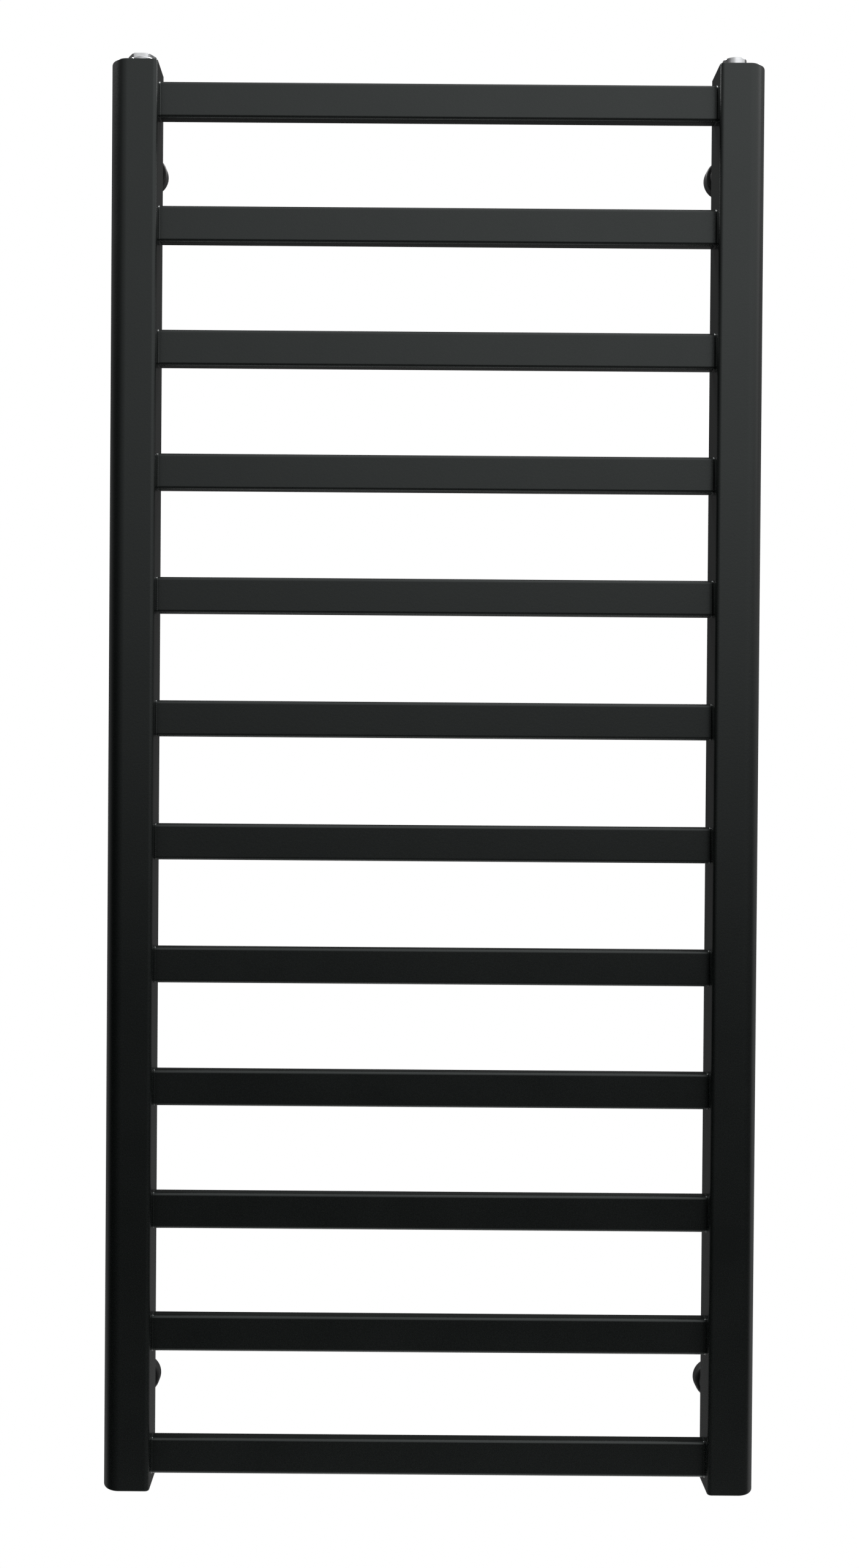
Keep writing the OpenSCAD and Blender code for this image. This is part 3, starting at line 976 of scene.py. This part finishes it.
def wall_disc(corner):
    """The disc that is screwed to the wall, with the hollow spigot that carries the sleeve."""
    rows = rounded(
        [
            (WALL_HOLE_R, 0, 0), (DISC_R, 0, 0.3), (DISC_R, DISC_T, 2), (SPIGOT_R, DISC_T, 0.3),
            (SPIGOT_R, SPIGOT_END, 0.5), (SPIGOT_BORE_R, SPIGOT_END, 0.3), (SPIGOT_BORE_R, DISC_FLOOR, 0.4),
            (WALL_HOLE_R, DISC_FLOOR, 0.4),
        ],
        hold=0.2,
    )
    disc = mesh_object(f"{corner}_disc", place(turned(rows), fixing(corner), FROM_WALL))
    finish_piece(disc, "wall_brackets", "bracket_plastic", f"{corner}_wall_disc")


def sleeve(corner):
    """The sleeve that slides on the spigot, with a floor for its screw and a hole for the grub screw."""
    bore = SPIGOT_R + PLAY
    socket = BOSS_R + PLAY
    floor_near, floor_far = SLEEVE_FLOOR
    rows = rounded(
        [
            (bore, SLEEVE_NEAR, 0.4), (SLEEVE_R, SLEEVE_NEAR, 0.6), (SLEEVE_R, SLEEVE_FAR, 1.0),
            (socket, SLEEVE_FAR, 0.2), (socket, floor_far, 0), (SLEEVE_HOLE_R, floor_far, 0),
            (SLEEVE_HOLE_R, floor_near, 0), (bore, floor_near, 0),
        ],
        hold=0.25,
    )
    thing = mesh_object(f"{corner}_bracket_sleeve", place(turned(rows), fixing(corner), FROM_WALL))
    hole_r = GRUB_R + PLAY
    mouth_r = hole_r + GRUB_HOLE_BELOW + GRUB_HOLE_ABOVE
    hole_rows = [
        (hole_r, GRUB_HOLE_START), (hole_r, SLEEVE_R - GRUB_HOLE_BELOW),
        (mouth_r, SLEEVE_R + GRUB_HOLE_ABOVE),
    ]
    hole_at = fixing(corner) - Vector((0, GRUB_AT * MM, 0))
    hole = mesh_object("hole", place(turned(hole_rows, 32, closed=False), hole_at, UPSIDE_DOWN))
    combine(thing, hole, "DIFFERENCE")
    finish_piece(thing, "rack", "bracket_plastic", f"{corner}_sleeve")


def boss(corner):
    """The threaded boss on the collector's back, in a fillet of weld."""
    foot = POST_BACK - WELD_RIM
    root = foot + WELD_ROOT
    rows = rounded(
        [
            (BOSS_BORE_R, BOSS_NEAR, 0.3), (BOSS_R, BOSS_NEAR, 0.4), (BOSS_R, foot - WELD_LEG, 0),
            (BOSS_R + WELD_MIDDLE_OUT, foot - WELD_MIDDLE_UP, 0), (BOSS_R + WELD_LEG, foot, 0),
            (BOSS_R + WELD_LEG, root, 0), (BOSS_R, root, 0), (BOSS_R, BOSS_FAR, 0),
            (BOSS_BORE_R, BOSS_FAR, 0),
        ],
        steps=4,
        hold=0.2,
    )
    piece = place(turned(rows), fixing(corner), FROM_WALL)
    finish_piece(mesh_object(f"{corner}_screw_boss", piece), "rack", "rack_coat", f"{corner}_boss")


def sleeve_screws():
    """The four screws that hold the sleeves, each with a hexagon socket facing the wall."""
    socket = hexagon(SCREW_KEY_AF)
    floor = SLEEVE_FLOOR[0]
    rows = [
        (SCREW_R - SCREW_CUT, SCREW_END), (SCREW_R, SCREW_END - SCREW_CUT), (SCREW_R, floor),
        (SCREW_HEAD_R, floor), (SCREW_HEAD_R, SCREW_HEAD_END + SCREW_CUT),
        (SCREW_HEAD_R - SCREW_CUT_MIDDLE_IN, SCREW_HEAD_END + SCREW_CUT_MIDDLE_UP),
        (SCREW_HEAD_R - SCREW_CUT, SCREW_HEAD_END),
        (lambda angle: socket(angle) + SCREW_KEY_CUT, SCREW_HEAD_END),
        (socket, SCREW_HEAD_END + SCREW_KEY_CUT), (socket, SCREW_HEAD_END + SCREW_KEY_DEPTH),
    ]
    shape = turned(rows, 60, closed=False)
    screws = joined([place(shape, fixing(corner), FROM_WALL) for corner in CORNERS])
    finish_piece(mesh_object("bracket_screws", screws), "rack", "zinc_steel", "sleeve_screws")


def grub_screw(corner):
    """A threaded grub screw with a cup point, drawn from its tip downwards to its hexagon socket."""
    socket = hexagon(GRUB_KEY_AF)
    rows = [*GRUB_CUP]
    for height in between(GRUB_ROW_MARGIN, GRUB_L - GRUB_ROW_MARGIN, GRUB_ROWS):
        limit = GRUB_R - max(GRUB_END_CUT - height, 0, height - GRUB_L + GRUB_END_CUT)
        ridge = thread(GRUB_R - GRUB_THREAD_DEPTH, GRUB_THREAD_DEPTH, GRUB_PITCH, height, 0)
        rows.append((lambda angle, ridge=ridge, limit=limit: min(ridge(angle), limit), height))
    rows += [
        (GRUB_R - GRUB_RIM_CUT, GRUB_L), (lambda angle: socket(angle) + GRUB_KEY_CUT, GRUB_L),
        (socket, GRUB_L - GRUB_KEY_CUT), (socket, GRUB_L - GRUB_KEY_DEPTH),
    ]
    node = f"{corner}_grub_screw"
    low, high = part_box(node)
    tip = Vector(((low.x + high.x) / 2, (low.y + high.y) / 2, high.z))
    screw = place(turned(rows, 48, closed=False), tip, UPSIDE_DOWN)
    finish_piece(mesh_object(f"{corner}_set_screw", screw), node, "zinc_steel", node)


# ---- The whole scene ----

make_camera()
make_world()
make_softboxes()
make_floor()
bpy.context.scene.view_settings.view_transform = "Standard"

FINISHES = (rack_coat, chrome, zinc_steel, bracket_plastic, seal_rubber)
MATERIALS = {finish.__name__: finish() for finish in FINISHES}

for name, side in SIDES.items():
    collector_tube(name, side)
    end_cap(name, side, "top", 1)
    end_cap(name, side, "bottom", -1)
    top_bush(name)
    port_bush(name)
    weld_beads(name, side)
for node in RAILS:
    rail(node)
blind_plug()
valve_body()
outlet_ring()
bleed_needle()
for corner in CORNERS:
    wall_disc(corner)
    sleeve(corner)
    boss(corner)
    grub_screw(corner)
sleeve_screws()
# The seal rings keep their CAD meshes and only get their finish.
for node in ("plug_seal", "vent_seal", "vent_needle_seal"):
    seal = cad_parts[node]
    seal.data.materials.clear()
    seal.data.materials.append(MATERIALS["seal_rubber"])
